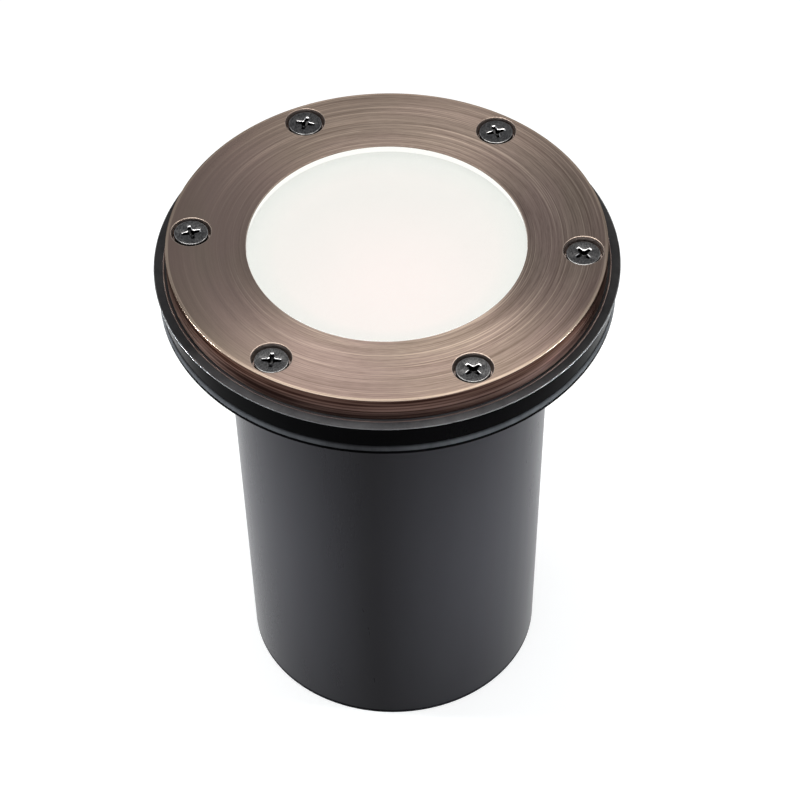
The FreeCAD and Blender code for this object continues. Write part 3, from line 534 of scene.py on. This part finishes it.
def composite(name, base, pale, rough, level, relief, ior=1.5, bead=None, face=None):
    """Moulded black plastic: a fine grain, faint flow marks and small scuffs. The flange also has
    a paler colour for its lower bead, as painted light, and a grey for its upward faces, painted
    light that is strongest at the front."""
    f = Finish(name, Specular_IOR_Level=level, IOR=ior, Specular_Tint=(0.93, 0.90, 1.0, 1.0))
    grain = f.noise(f.place, 2400.0, 4.0, 0.65)
    flow = f.noise(f.stretched(16.0, 16.0, 5.0), 1.0)
    scuff = f.noise(f.stretched(130.0, 130.0, 24.0), 1.0, 4.0, 0.7)
    tone = f.plus(f.times(flow, 0.5), f.times(scuff, 0.5))
    colour = f.blend(f.between(tone, 0.35, 0.68), base, pale)
    if bead:
        normal = f.node("ShaderNodeSeparateXYZ")
        f.feed(normal.inputs[0], f.node("ShaderNodeTexCoord").outputs["Normal"])
        up = normal.outputs[2]
        patchy = f.between(scuff, 0.3, 0.7, 0.6, 1.0)
        # The bead's face leans a little upwards, and is painted paler there: painted light.
        swell = f.between(f.axes()[2], BEAD_TOP * MM, BEAD_FULL * MM)
        painted_lean_light = f.times(f.between(up, 0.03, 0.13), swell)
        colour = f.blend(f.times(painted_lean_light, patchy), colour, bead)
        # The upward faces take a grey of painted light, strongest at the front and broken up by
        # scuffs, and are chipped here and there.
        front_painted_light = f.times(f.between(f.axes()[1], -38 * MM, -60 * MM, 0.30, 1.0), patchy)
        chips = f.between(f.noise(f.place, 420.0, 4.0, 0.7), 0.69, 0.75)
        upper = f.blend(chips, f.blend(front_painted_light, base, face), (0.42, 0.42, 0.42))
        colour = f.blend(f.between(up, 0.80, 0.90), colour, upper)
    f.set("Base Color", colour)
    f.set("Roughness", f.between(tone, 0.35, 0.65, *rough))
    f.bump(f.plus(grain, f.times(scuff, 0.5)), relief, 0.02)
    return f.material


def rubber(name, base, pale):
    """A dull moulded surface with a little dust, for silicone and for paint."""
    f = Finish(name, Specular_IOR_Level=0.35)
    grain = f.noise(f.place, 1800.0, 4.0, 0.6)
    dust = f.noise(f.place, 130.0)
    f.set("Base Color", f.blend(f.between(dust, 0.4, 0.7), base, pale))
    f.set("Roughness", f.between(grain, 0.3, 0.7, 0.50, 0.68))
    f.bump(grain, 0.4, 0.03)
    return f.material


def metal(name, base, pale, rough, stretch=(900.0, 900.0, 900.0), relief=0.3):
    """Bare or plated metal with a grain that the stretch lays along one way."""
    f = Finish(name, Metallic=1.0)
    grain = f.noise(f.stretched(*stretch), 1.0, roughness=0.6)
    stain = f.noise(f.place, 90.0)
    tone = f.plus(f.times(grain, 0.5), f.times(stain, 0.5))
    f.set("Base Color", f.blend(f.between(tone, 0.38, 0.62), base, pale))
    f.set("Roughness", f.between(tone, 0.35, 0.65, *rough))
    f.bump(grain, relief, 0.02)
    return f.material


def glass():
    """Clear tempered glass, a little green in its depth."""
    f = Finish("clear_glass", Transmission_Weight=1.0, IOR=1.5, Roughness=0.08)
    haze = f.noise(f.place, 24.0, 2.0)
    f.set("Base Color", f.blend(haze, (0.985, 0.992, 0.985), (0.995, 0.998, 0.992)))
    return f.material


def frosted(name, rim, colour, warm, spot=(0.0, 0.0)):
    """The ground face of the glass, lit from below: warm round a spot, and a darker, greener tone
    at its rim as painted shade from the ring's wall.
    """
    f = Finish(name, Roughness=0.6, Specular_IOR_Level=0.2, Emission_Strength=1.0)
    x, y, _ = f.axes()
    away = f.length(f.minus(x, spot[0] * MM), f.minus(y, spot[1] * MM))
    grain = f.noise(f.place, 1600.0, 2.0)
    cloud = f.times(f.minus(f.noise(f.place, 45.0, 2.0), 0.5), 0.25)
    near = f.plus(f.between(away, 8 * MM, 38 * MM, 1.0, 0.0), cloud, clamp=True)
    shade = f.blend(near, colour, warm)
    # Darker at the rim: painted shade.
    shade = f.blend(f.between(f.radius(), 31 * MM, 39 * MM), shade, rim)
    f.set("Base Color", f.blend(grain, (0.17, 0.17, 0.165), (0.21, 0.21, 0.205)))
    f.set("Emission Color", shade)
    f.bump(grain, 0.3, 0.02)
    return f.material


def optic():
    """Moulded lens of the lamp: small round facets with the light source behind."""
    f = Finish("optic_plastic", Roughness=0.12, Specular_IOR_Level=0.5, Emission_Strength=0.7)
    cells = f.node("ShaderNodeTexVoronoi", feature="SMOOTH_F1")
    f.feed(cells.inputs["Vector"], f.place)
    cells.inputs["Scale"].default_value = 300.0
    facet = cells.outputs["Distance"]
    glow = f.between(f.radius(), 4 * MM, 21 * MM, 1.0, 0.35)
    f.set("Base Color", f.blend(facet, (0.80, 0.79, 0.74), (0.60, 0.60, 0.58)))
    f.set("Emission Color", f.blend(glow, (0.42, 0.40, 0.34), (1.0, 0.93, 0.80)))
    f.bump(facet, 0.8, 0.5)
    return f.material


def ceramic():
    """Unglazed, with a stain here and there."""
    f = Finish("ceramic", Specular_IOR_Level=0.3)
    grain = f.noise(f.place, 1200.0, 4.0, 0.7)
    stain = f.between(f.noise(f.place, 160.0), 0.4, 0.7)
    f.set("Base Color", f.blend(stain, (0.80, 0.77, 0.69), (0.70, 0.66, 0.57)))
    f.set("Roughness", f.between(grain, 0.3, 0.7, 0.62, 0.82))
    f.bump(grain, 0.5, 0.05)
    return f.material


BRASS = brushed_brass()
# Edge wear, made brighter still as a painted highlight on the ring's outer band and corner.
EDGE_WEAR_HIGHLIGHT_BRASS = edge_brass(
    "edge_brass", (0.28, 0.215, 0.172), (0.54, 0.43, 0.348), 0.36,
    Anisotropic=0.82, Anisotropic_Rotation=0.25, Specular_Tint=(0.45, 0.37, 0.32, 1.0),
)
BORE_EDGE = edge_brass("bore_edge", (0.46, 0.37, 0.31), (0.70, 0.60, 0.52), 0.26)
LIP_BRASS = edge_brass("lip_brass", (0.24, 0.18, 0.15), (0.38, 0.30, 0.25), 0.34)
# Lighter and greyer than the face: painted light on the counterbore walls.
BORE_PAINTED_LIGHT_BRASS = edge_brass("bore_brass", (0.38, 0.31, 0.285), (0.60, 0.52, 0.48), 0.46)
SIDE_BRASS = side_brass()
BLACK_STEEL = black_steel()
# Painted highlights for the cross walls that face the front.
GLINT_STEEL = screw_steel("screw_steel", (0.62, 0.62, 0.63), (0.93, 0.93, 0.93))
# Edge wear on the heads' rims, made lighter as a painted highlight.
RIM_STEEL = screw_steel("rim_steel", (0.14, 0.14, 0.145), (0.42, 0.42, 0.42))
# Near black: painted shade in the depth of the crosses and on their other walls.
RECESS_SHADE_STEEL = screw_steel("recess_shade_steel", (0.008, 0.008, 0.008), (0.030, 0.030, 0.031))
BODY = composite(
    "composite_black", (0.0054, 0.0050, 0.0060), (0.0066, 0.0062, 0.0072), (0.26, 0.31),
    level=0.085, relief=0.08,
)
# Darker than the body: painted shade on the foot's band and rounding.
FOOT_SHADE = composite(
    "foot_painted_shade", (0.0010, 0.0010, 0.0016), (0.0035, 0.0035, 0.0045), (0.40, 0.50),
    level=0.5, relief=0.08, ior=1.06,
)
FLANGE = composite(
    "flange_black", (0.0003, 0.0003, 0.0004), (0.0010, 0.0010, 0.0012), (0.12, 0.20),
    level=0.5, relief=0.03, ior=1.034, bead=(0.048, 0.048, 0.052), face=(0.165, 0.165, 0.170),
)
# Brown: a painted reflection of the brass ring in the inner bead.
FLANGE_LIP_REFLECTION = composite(
    "flange_lip", (0.075, 0.048, 0.040), (0.190, 0.135, 0.112), (0.12, 0.20),
    level=0.8, relief=0.03,
)
FLANGE_EDGE = composite(
    "flange_edge", (0.020, 0.020, 0.020), (0.160, 0.160, 0.160), (0.28, 0.36),
    level=0.7, relief=0.03,
)
NYLON = composite(
    "nylon_black", (0.016, 0.016, 0.017), (0.030, 0.030, 0.031), (0.38, 0.52),
    level=0.45, relief=0.3,
)
SILICONE = rubber("silicone", (0.03, 0.03, 0.031), (0.07, 0.07, 0.07))
CLEAR_SILICONE = rubber("clear_silicone", (0.60, 0.60, 0.57), (0.72, 0.72, 0.69))
PLAIN_BRASS = metal("plain_brass", (0.55, 0.38, 0.15), (0.74, 0.55, 0.27), (0.22, 0.36))
ZINC = metal(
    "zinc_steel", (0.48, 0.48, 0.47), (0.66, 0.66, 0.63), (0.30, 0.44),
    stretch=(260.0, 2200.0, 260.0),
)
SPRING = metal("spring_steel", (0.50, 0.50, 0.50), (0.72, 0.72, 0.72), (0.18, 0.30))
ALUMINIUM = metal(
    "cast_aluminium", (0.60, 0.60, 0.60), (0.78, 0.78, 0.78), (0.38, 0.52), relief=0.5,
)
LAMP_WHITE = rubber("lamp_white", (0.72, 0.72, 0.70), (0.82, 0.82, 0.80))
LAMP_PLASTIC = rubber("lamp_plastic", (0.70, 0.70, 0.66), (0.80, 0.80, 0.77))
NICKEL = metal("nickel", (0.55, 0.53, 0.48), (0.76, 0.73, 0.67), (0.20, 0.32))
CERAMIC = ceramic()
OPTIC = optic()
GLASS = glass()
FROST = frosted(
    "frosted_glass", (0.71, 0.725, 0.69), (0.775, 0.752, 0.718), (0.86, 0.78, 0.75),
    spot=(4.0, -14.0),
)
PALE_GLASS = (0.87, 0.87, 0.84)
GROUND_EDGE = frosted("ground_edge", PALE_GLASS, PALE_GLASS, PALE_GLASS)

CAD_FINISHES = {
    "flange": FLANGE,
    "bulkhead": BODY,
    "threaded_inserts": PLAIN_BRASS,
    "lens_gasket": SILICONE,
    "gland_body": NYLON,
    "gland_washer": SILICONE,
    "gland_locknut": NYLON,
    "gland_seal": SILICONE,
    "gland_nut": NYLON,
    "swivel_post": NICKEL,
    "post_screw": ZINC,
    "swivel_screw": ZINC,
    "swivel_washer": SPRING,
    "lens_seal": CLEAR_SILICONE,
    "yoke": ZINC,
    "pivot_washers": NYLON,
    "pivot_pins": SPRING,
    "gimbal_ring": ALUMINIUM,
    "lamp_clip": SPRING,
    "lamp_body": LAMP_WHITE,
    "lamp_optic": OPTIC,
    "lamp_base": LAMP_PLASTIC,
    "lamp_pins": NICKEL,
    "lamp_socket": CERAMIC,
    "socket_contacts": NICKEL,
}


def finish_cad():
    """Gives the CAD model's own pieces their materials."""
    for name, material in CAD_FINISHES.items():
        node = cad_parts[name]
        if node.material_slots:
            for slot in node.material_slots:
                slot.material = material
        else:
            node.data.materials.append(material)


# ---------------------------------------------------------------- pieces


def make_face_ring():
    """The brass ring, with a rounded outer edge and crisp rims at the window and the holes."""
    shell = Shell("face_ring_looks")
    finishes = [BRASS, EDGE_WEAR_HIGHLIGHT_BRASS, LIP_BRASS, SIDE_BRASS, BORE_PAINTED_LIGHT_BRASS, BORE_EDGE]
    face, edge, lip, side, bore, bore_rim = range(len(finishes))
    out_steps, in_steps, side_steps = 40, 24, 10
    steps = (in_steps, out_steps, side_steps)
    window_edge, hole_edge, corner, support = 0.1, 0.25, 0.15, 0.08
    low, high = WINDOW_R + window_edge + support, RING_R - RING_EDGE - BAND_START
    hole = COUNTERBORE_R + hole_edge + support
    under_r = RING_R - SKIRT_WIDTH
    angles = pierced(shell, low, high, TOP, hole, steps, face, rows=6)
    outside = softened(
        [(high, TOP), (high + BAND_STEP, TOP), (RING_R, TOP), (RING_R, RING_SKIRT),
         (under_r, RING_SKIRT), (under_r, RING_UNDER)],
        [0, 0, RING_EDGE, SKIRT_EDGE, 0, 0], steps=6,
    )
    shell.turned(outside, sector_angles(out_steps), [edge] * 8 + [side] * 9)
    inside = softened(
        [(low, TOP), (WINDOW_R, TOP), (WINDOW_R, RABBET_TOP), (RABBET_R, RABBET_TOP),
         (RABBET_R, RING_UNDER)],
        [0, window_edge, 0, 0, 0], steps=4,
    )
    shell.turned(inside, sector_angles(in_steps), [face] + [lip] * 7)
    wall = softened(
        [(hole, TOP), (COUNTERBORE_R, TOP), (COUNTERBORE_R, COUNTERBORE_FLOOR),
         (SCREW_HOLE_R, COUNTERBORE_FLOOR), (SCREW_HOLE_R, RING_UNDER)],
        [0, hole_edge, corner, 0, 0], steps=4,
    )
    for k in range(SECTORS):
        turned = [a + SECTOR * k for a in angles]
        marks = [face, bore_rim] + [lip] * 3 + [bore] * 7
        shell.turned(wall, turned, marks, screw_centre(k))
    pierced(shell, RABBET_R, under_r, RING_UNDER, SCREW_HOLE_R, steps, side)
    for point in shell.bm.verts:
        past = point.co.xy.length - CROWN_R * MM
        if past > 0 and point.co.z > (TOP - CROWN_DEPTH) * MM:
            point.co.z -= CROWN_FALL * past * past
    shell.done("cover", finishes, ["face_ring"])


def make_flange_lip():
    """The low bead on the flange's face that the ring sits inside, brown as a painted reflection
    of the brass, and the one at its edge.
    """
    shell = Shell("flange_lip")
    for material, (middle, height, size) in enumerate((INNER_BEAD, EDGE_BEAD)):
        around = [on_circle(size, a) for a in range(-40, 221, 20)]
        profile = [(middle + out, height + up) for out, up in around]
        marks = [material] * len(profile)
        shell.turned(profile + profile[:1], even_angles(BEAD_STEPS), marks)
    shell.done("base", [FLANGE_LIP_REFLECTION, FLANGE_EDGE])


def make_lens():
    """Stepped glass: clear in its depth, ground on its underside and its edge."""
    shell = Shell("lens_looks")
    clear, ground, edge = range(3)
    profile = softened(
        [(LENS_HUB_R, LENS_TOP), (LENS_STEP_R, LENS_TOP), (LENS_STEP_R, LENS_RIM_TOP),
         (LENS_RIM_R, LENS_RIM_TOP), (LENS_RIM_R, LENS_UNDER), (LENS_HUB_R, LENS_UNDER)],
        [0, LENS_STEP_EDGE, 0, 0, 0, 0], steps=4,
    )
    marks = [clear] * 5 + [edge] * 3 + [ground]
    loops = shell.turned(profile, even_angles(ROUND_STEPS), marks)
    shell.cap(loops[0], (0, 0, LENS_TOP), clear)
    shell.cap(loops[-1], (0, 0, LENS_UNDER), ground)
    shell.done("cover", [GLASS, FROST, GROUND_EDGE], ["lens"])


def make_housing():
    """The tapered tube, with a softened foot."""
    shell = Shell("housing_looks")
    body, foot = range(2)
    band_r = BODY_FOOT_R + (BODY_TOP_R - BODY_FOOT_R) * FOOT_BAND / FLANGE_LOW
    profile = softened(
        [(RECESS_FOOT_R, 0.0), (BODY_FOOT_R, 0.0), (band_r, FOOT_BAND), (BODY_TOP_R, FLANGE_LOW),
         (BODY_TOP_R, PLATE_UNDER), (MOUTH_R, PLATE_UNDER), (WALL_FOOT_R, SHELF),
         (RECESS_TOP_R, SHELF), (RECESS_FOOT_R, 0.0)],
        [0, FOOT_EDGE, 0, 0, TUBE_EDGE, TUBE_EDGE, 0, TUBE_EDGE, 0], steps=6,
    )
    # The foot's band and rounding take the painted shade.
    shell.turned(profile, even_angles(ROUND_STEPS), [foot] * 8 + [body] * 24)
    shell.done("base", [BODY, FOOT_SHADE], ["housing"])


def cross_outline(arm, half, heart, cuts=3):
    """Points round a cross recess: arms that narrow to their ends, and a wider heart."""
    tip, root = half * 0.78, half * 1.15
    corners = []
    for quarter in range(4):
        for x, y in ((arm, -tip), (arm, tip), (heart, root), (root, heart)):
            for _ in range(quarter):
                x, y = -y, x
            corners.append(Vector((x, y)))
    points = []
    for corner, after in zip(corners, corners[1:] + corners[:1]):
        points += [corner.lerp(after, j / cuts) for j in range(cuts)]
    return points


def make_screws():
    """Pan-head screws with cross recesses and rolled threads."""
    shell = Shell("cover_screws_looks")
    head, front_painted_light, rim, recess_shade = range(4)
    flat_r = SCREW_HEAD_R - HEAD_EDGE - HEAD_MARGIN
    for k in range(SECTORS):
        cx, cy = screw_centre(k)
        top = SCREW_HEAD_TOP + SCREW_LIFTS[k]
        turn = math.radians(SCREW_TURNS[k])
        c, s = math.cos(turn), math.sin(turn)

        def placed(points, height):
            return [(cx + p.x * c - p.y * s, cy + p.x * s + p.y * c, height) for p in points]

        loops = [placed(cross_outline(*shape), top - depth) for depth, *shape in CROSS_LEVELS]
        for j, (upper, lower) in enumerate(zip(loops, loops[1:])):
            for p in range(len(upper)):
                n = (p + 1) % len(upper)
                run = Vector(upper[n]) - Vector(upper[p])
                # Painted highlight where the wall looks to the front; painted shade on the other
                # walls.
                glinting = j < GLINT_LEVELS and run.x < -0.25 * run.length
                quad = [upper[p], upper[n], lower[n], lower[p]]
                shell.face(quad, front_painted_light if glinting else recess_shade)
        shell.cap(loops[-1], (cx, cy, top - CROSS_TIP), recess_shade)
        rays = [p.normalized() for p in cross_outline(*CROSS_LEVELS[0][1:])]
        shell.strip(placed([p * flat_r for p in rays], top), loops[0], head)
        around = softened(
            [(flat_r, top), (SCREW_HEAD_R, top), (SCREW_HEAD_R, COUNTERBORE_FLOOR),
             (SHANK_R, COUNTERBORE_FLOOR)],
            [0, HEAD_EDGE, HEAD_UNDER_EDGE, 0], steps=5,
        )
        rows = [placed([p * radius for p in rays], height) for radius, height in around]
        marks = [head] + [rim] * 5 + [head] * 7
        for upper, lower, mark in zip(rows, rows[1:], marks):
            shell.strip(lower, upper, mark)
        thread(shell, (cx, cy), COUNTERBORE_FLOOR, SCREW_TIP, head)
    finishes = [BLACK_STEEL, GLINT_STEEL, RIM_STEEL, RECESS_SHADE_STEEL]
    shell.done("cover", finishes, ["cover_screws"], sharp=40.0)


def thread(shell, centre, high, low, material, around=28, per_turn=8):
    """A rolled thread: rings whose radius follows a helix, but less so close to both ends."""
    fade_in, fade_out = 1.5, 0.8
    rows = int((high - low) / THREAD_PITCH * per_turn)
    loops = []
    for row in range(rows + 1):
        z = high + (low - high) * row / rows
        fade = min(1.0, (high - z) / fade_in, (z - low) / fade_out + 0.05)
        loop = []
        for j in range(around):
            phase = (z / THREAD_PITCH - j / around) % 1.0
            wave = abs(phase * 2 - 1)
            radius = THREAD_ROOT_R + (SHANK_R - THREAD_ROOT_R) * min(1.0, wave * 1.25)
            radius = SHANK_R + (radius - SHANK_R) * max(0.0, fade)
            a = 2 * math.pi * j / around
            x, y = centre[0] + radius * math.cos(a), centre[1] + radius * math.sin(a)
            loop.append((x, y, z))
        loops.append(loop)
    for a, b in zip(loops, loops[1:]):
        shell.strip(b, a, material)
    shell.cap(loops[-1], (centre[0], centre[1], low), material)


# ---------------------------------------------------------------- studio


def make_floor():
    """A white floor that keeps the object's shadow and can't be seen from below."""
    mesh = bpy.data.meshes.new("floor")
    bm = bmesh.new()
    bmesh.ops.create_grid(bm, x_segments=2, y_segments=2, size=FLOOR_HALF)
    bm.to_mesh(mesh)
    bm.free()
    floor = bpy.data.objects.new("floor", mesh)
    floor.location.z = -FLOOR_DROP * MM
    bpy.context.scene.collection.objects.link(floor)
    material = bpy.data.materials.new("floor_white")
    material.use_nodes = True
    tree = material.node_tree
    nodes, links = tree.nodes, tree.links
    nodes.clear()
    output = nodes.new("ShaderNodeOutputMaterial")
    diffuse = nodes.new("ShaderNodeBsdfDiffuse")
    diffuse.inputs["Color"].default_value = (FLOOR_GREY, FLOOR_GREY, FLOOR_GREY, 1.0)
    glow = nodes.new("ShaderNodeEmission")
    seen = nodes.new("ShaderNodeLightPath").outputs
    rays = calc(tree, "ADD", seen["Is Camera Ray"], seen["Is Glossy Ray"], clamp=True)
    rays = calc(tree, "ADD", rays, seen["Is Transmission Ray"], clamp=True)
    feed(tree, glow.inputs["Strength"], calc(tree, "MULTIPLY", rays, FLOOR_GLOW))
    both = nodes.new("ShaderNodeAddShader")
    links.new(diffuse.outputs[0], both.inputs[0])
    links.new(glow.outputs[0], both.inputs[1])
    one_sided = nodes.new("ShaderNodeMixShader")
    links.new(nodes.new("ShaderNodeNewGeometry").outputs["Backfacing"], one_sided.inputs[0])
    links.new(both.outputs[0], one_sided.inputs[1])
    links.new(nodes.new("ShaderNodeBsdfTransparent").outputs[0], one_sided.inputs[2])
    links.new(one_sided.outputs[0], output.inputs["Surface"])
    mesh.materials.append(material)


def make_world():
    """An even sky, brighter where the camera sees it past the floor."""
    world = bpy.data.worlds.new("studio")
    bpy.context.scene.world = world
    world.use_nodes = True
    tree = world.node_tree
    background = tree.nodes["Background"]
    background.inputs["Color"].default_value = (*WORLD_COLOUR, 1.0)
    seen = tree.nodes.new("ShaderNodeLightPath").outputs["Is Camera Ray"]
    level = calc(tree, "MULTIPLY_ADD", seen, WORLD_SEEN - WORLD_LIGHT, WORLD_LIGHT)
    feed(tree, background.inputs["Strength"], level)


def make_lamp(name, place, target, size, power, colour=(1.0, 1.0, 1.0), spread=180.0):
    """An area lamp that looks at its target, round where its sides are equal; spread is in
    degrees."""
    data = bpy.data.lights.new(name, "AREA")
    data.shape = "DISK" if size[0] == size[1] else "RECTANGLE"
    data.size, data.size_y = size
    data.energy = power
    data.color = colour
    data.spread = math.radians(spread)
    lamp = bpy.data.objects.new(name, data)
    bpy.context.scene.collection.objects.link(lamp)
    lamp.location = place
    lamp.rotation_mode = "QUATERNION"
    lamp.rotation_quaternion = (Vector(target) - Vector(place)).to_track_quat("-Z", "Y")
    lamp.visible_camera = False


def make_lamps():
    """Two discs overhead, a wide panel in front and a narrow strip at each side."""
    top, low, strip = (0.0, 0.0, 0.15), (0.0, 0.0, 0.068), (0.4, 0.125)
    warm, warmer, cool = (1.0, 0.975, 0.94), (1.0, 0.96, 0.91), (0.93, 1.02, 1.03)
    make_lamp("overhead_left", (-0.125, 0.10, 0.62), top, (0.26, 0.26), 0.84, warm)
    make_lamp(
        "overhead_right", (0.062, 0.034, 0.36), (0.01, -0.01, 0.15), (0.14, 0.14), 0.195, warmer,
    )
    make_lamp("front_panel", (0.0, -0.9, 0.34), top, (1.0, 0.30), 1.3)
    make_lamp("left_strip", (-0.8, 0.0, 0.068), low, strip, 1.8, cool, spread=12.0)
    make_lamp("right_strip", (0.8, -0.06, 0.068), low, strip, 1.6, cool, spread=12.0)


def make_camera():
    """The photograph's view: fitted distance, height, turn and framing."""
    level = math.cos(CAMERA_ELEVATION)
    back = Vector((math.sin(CAMERA_AZIMUTH) * level, -math.cos(CAMERA_AZIMUTH) * level,
                   math.sin(CAMERA_ELEVATION)))
    forward = -back
    right = Vector((math.cos(CAMERA_AZIMUTH), math.sin(CAMERA_AZIMUTH), 0.0))
    up = right.cross(forward)
    sideways = Matrix.Rotation(CAMERA_PAN, 3, up)
    forward, right = sideways @ forward, sideways @ right
    forward = Matrix.Rotation(CAMERA_TILT, 3, right) @ forward
    right = Matrix.Rotation(CAMERA_ROLL, 3, forward) @ right
    up = right.cross(forward)
    data = bpy.data.cameras.new("photo_camera")
    data.sensor_width = SENSOR
    data.lens = SENSOR * FOCAL_PX / PHOTO_PX
    camera = bpy.data.objects.new("photo_camera", data)
    bpy.context.scene.collection.objects.link(camera)
    camera.rotation_mode = "QUATERNION"
    camera.location = Vector((0.0, 0.0, TOP * MM)) + back * CAMERA_DISTANCE
    camera.rotation_quaternion = Matrix((right, up, -forward)).transposed().to_quaternion()
    bpy.context.scene.camera = camera


finish_cad()
make_face_ring()
make_flange_lip()
make_lens()
make_housing()
make_screws()
make_floor()
make_world()
make_lamps()
make_camera()
bpy.context.scene.view_settings.view_transform = "Standard"
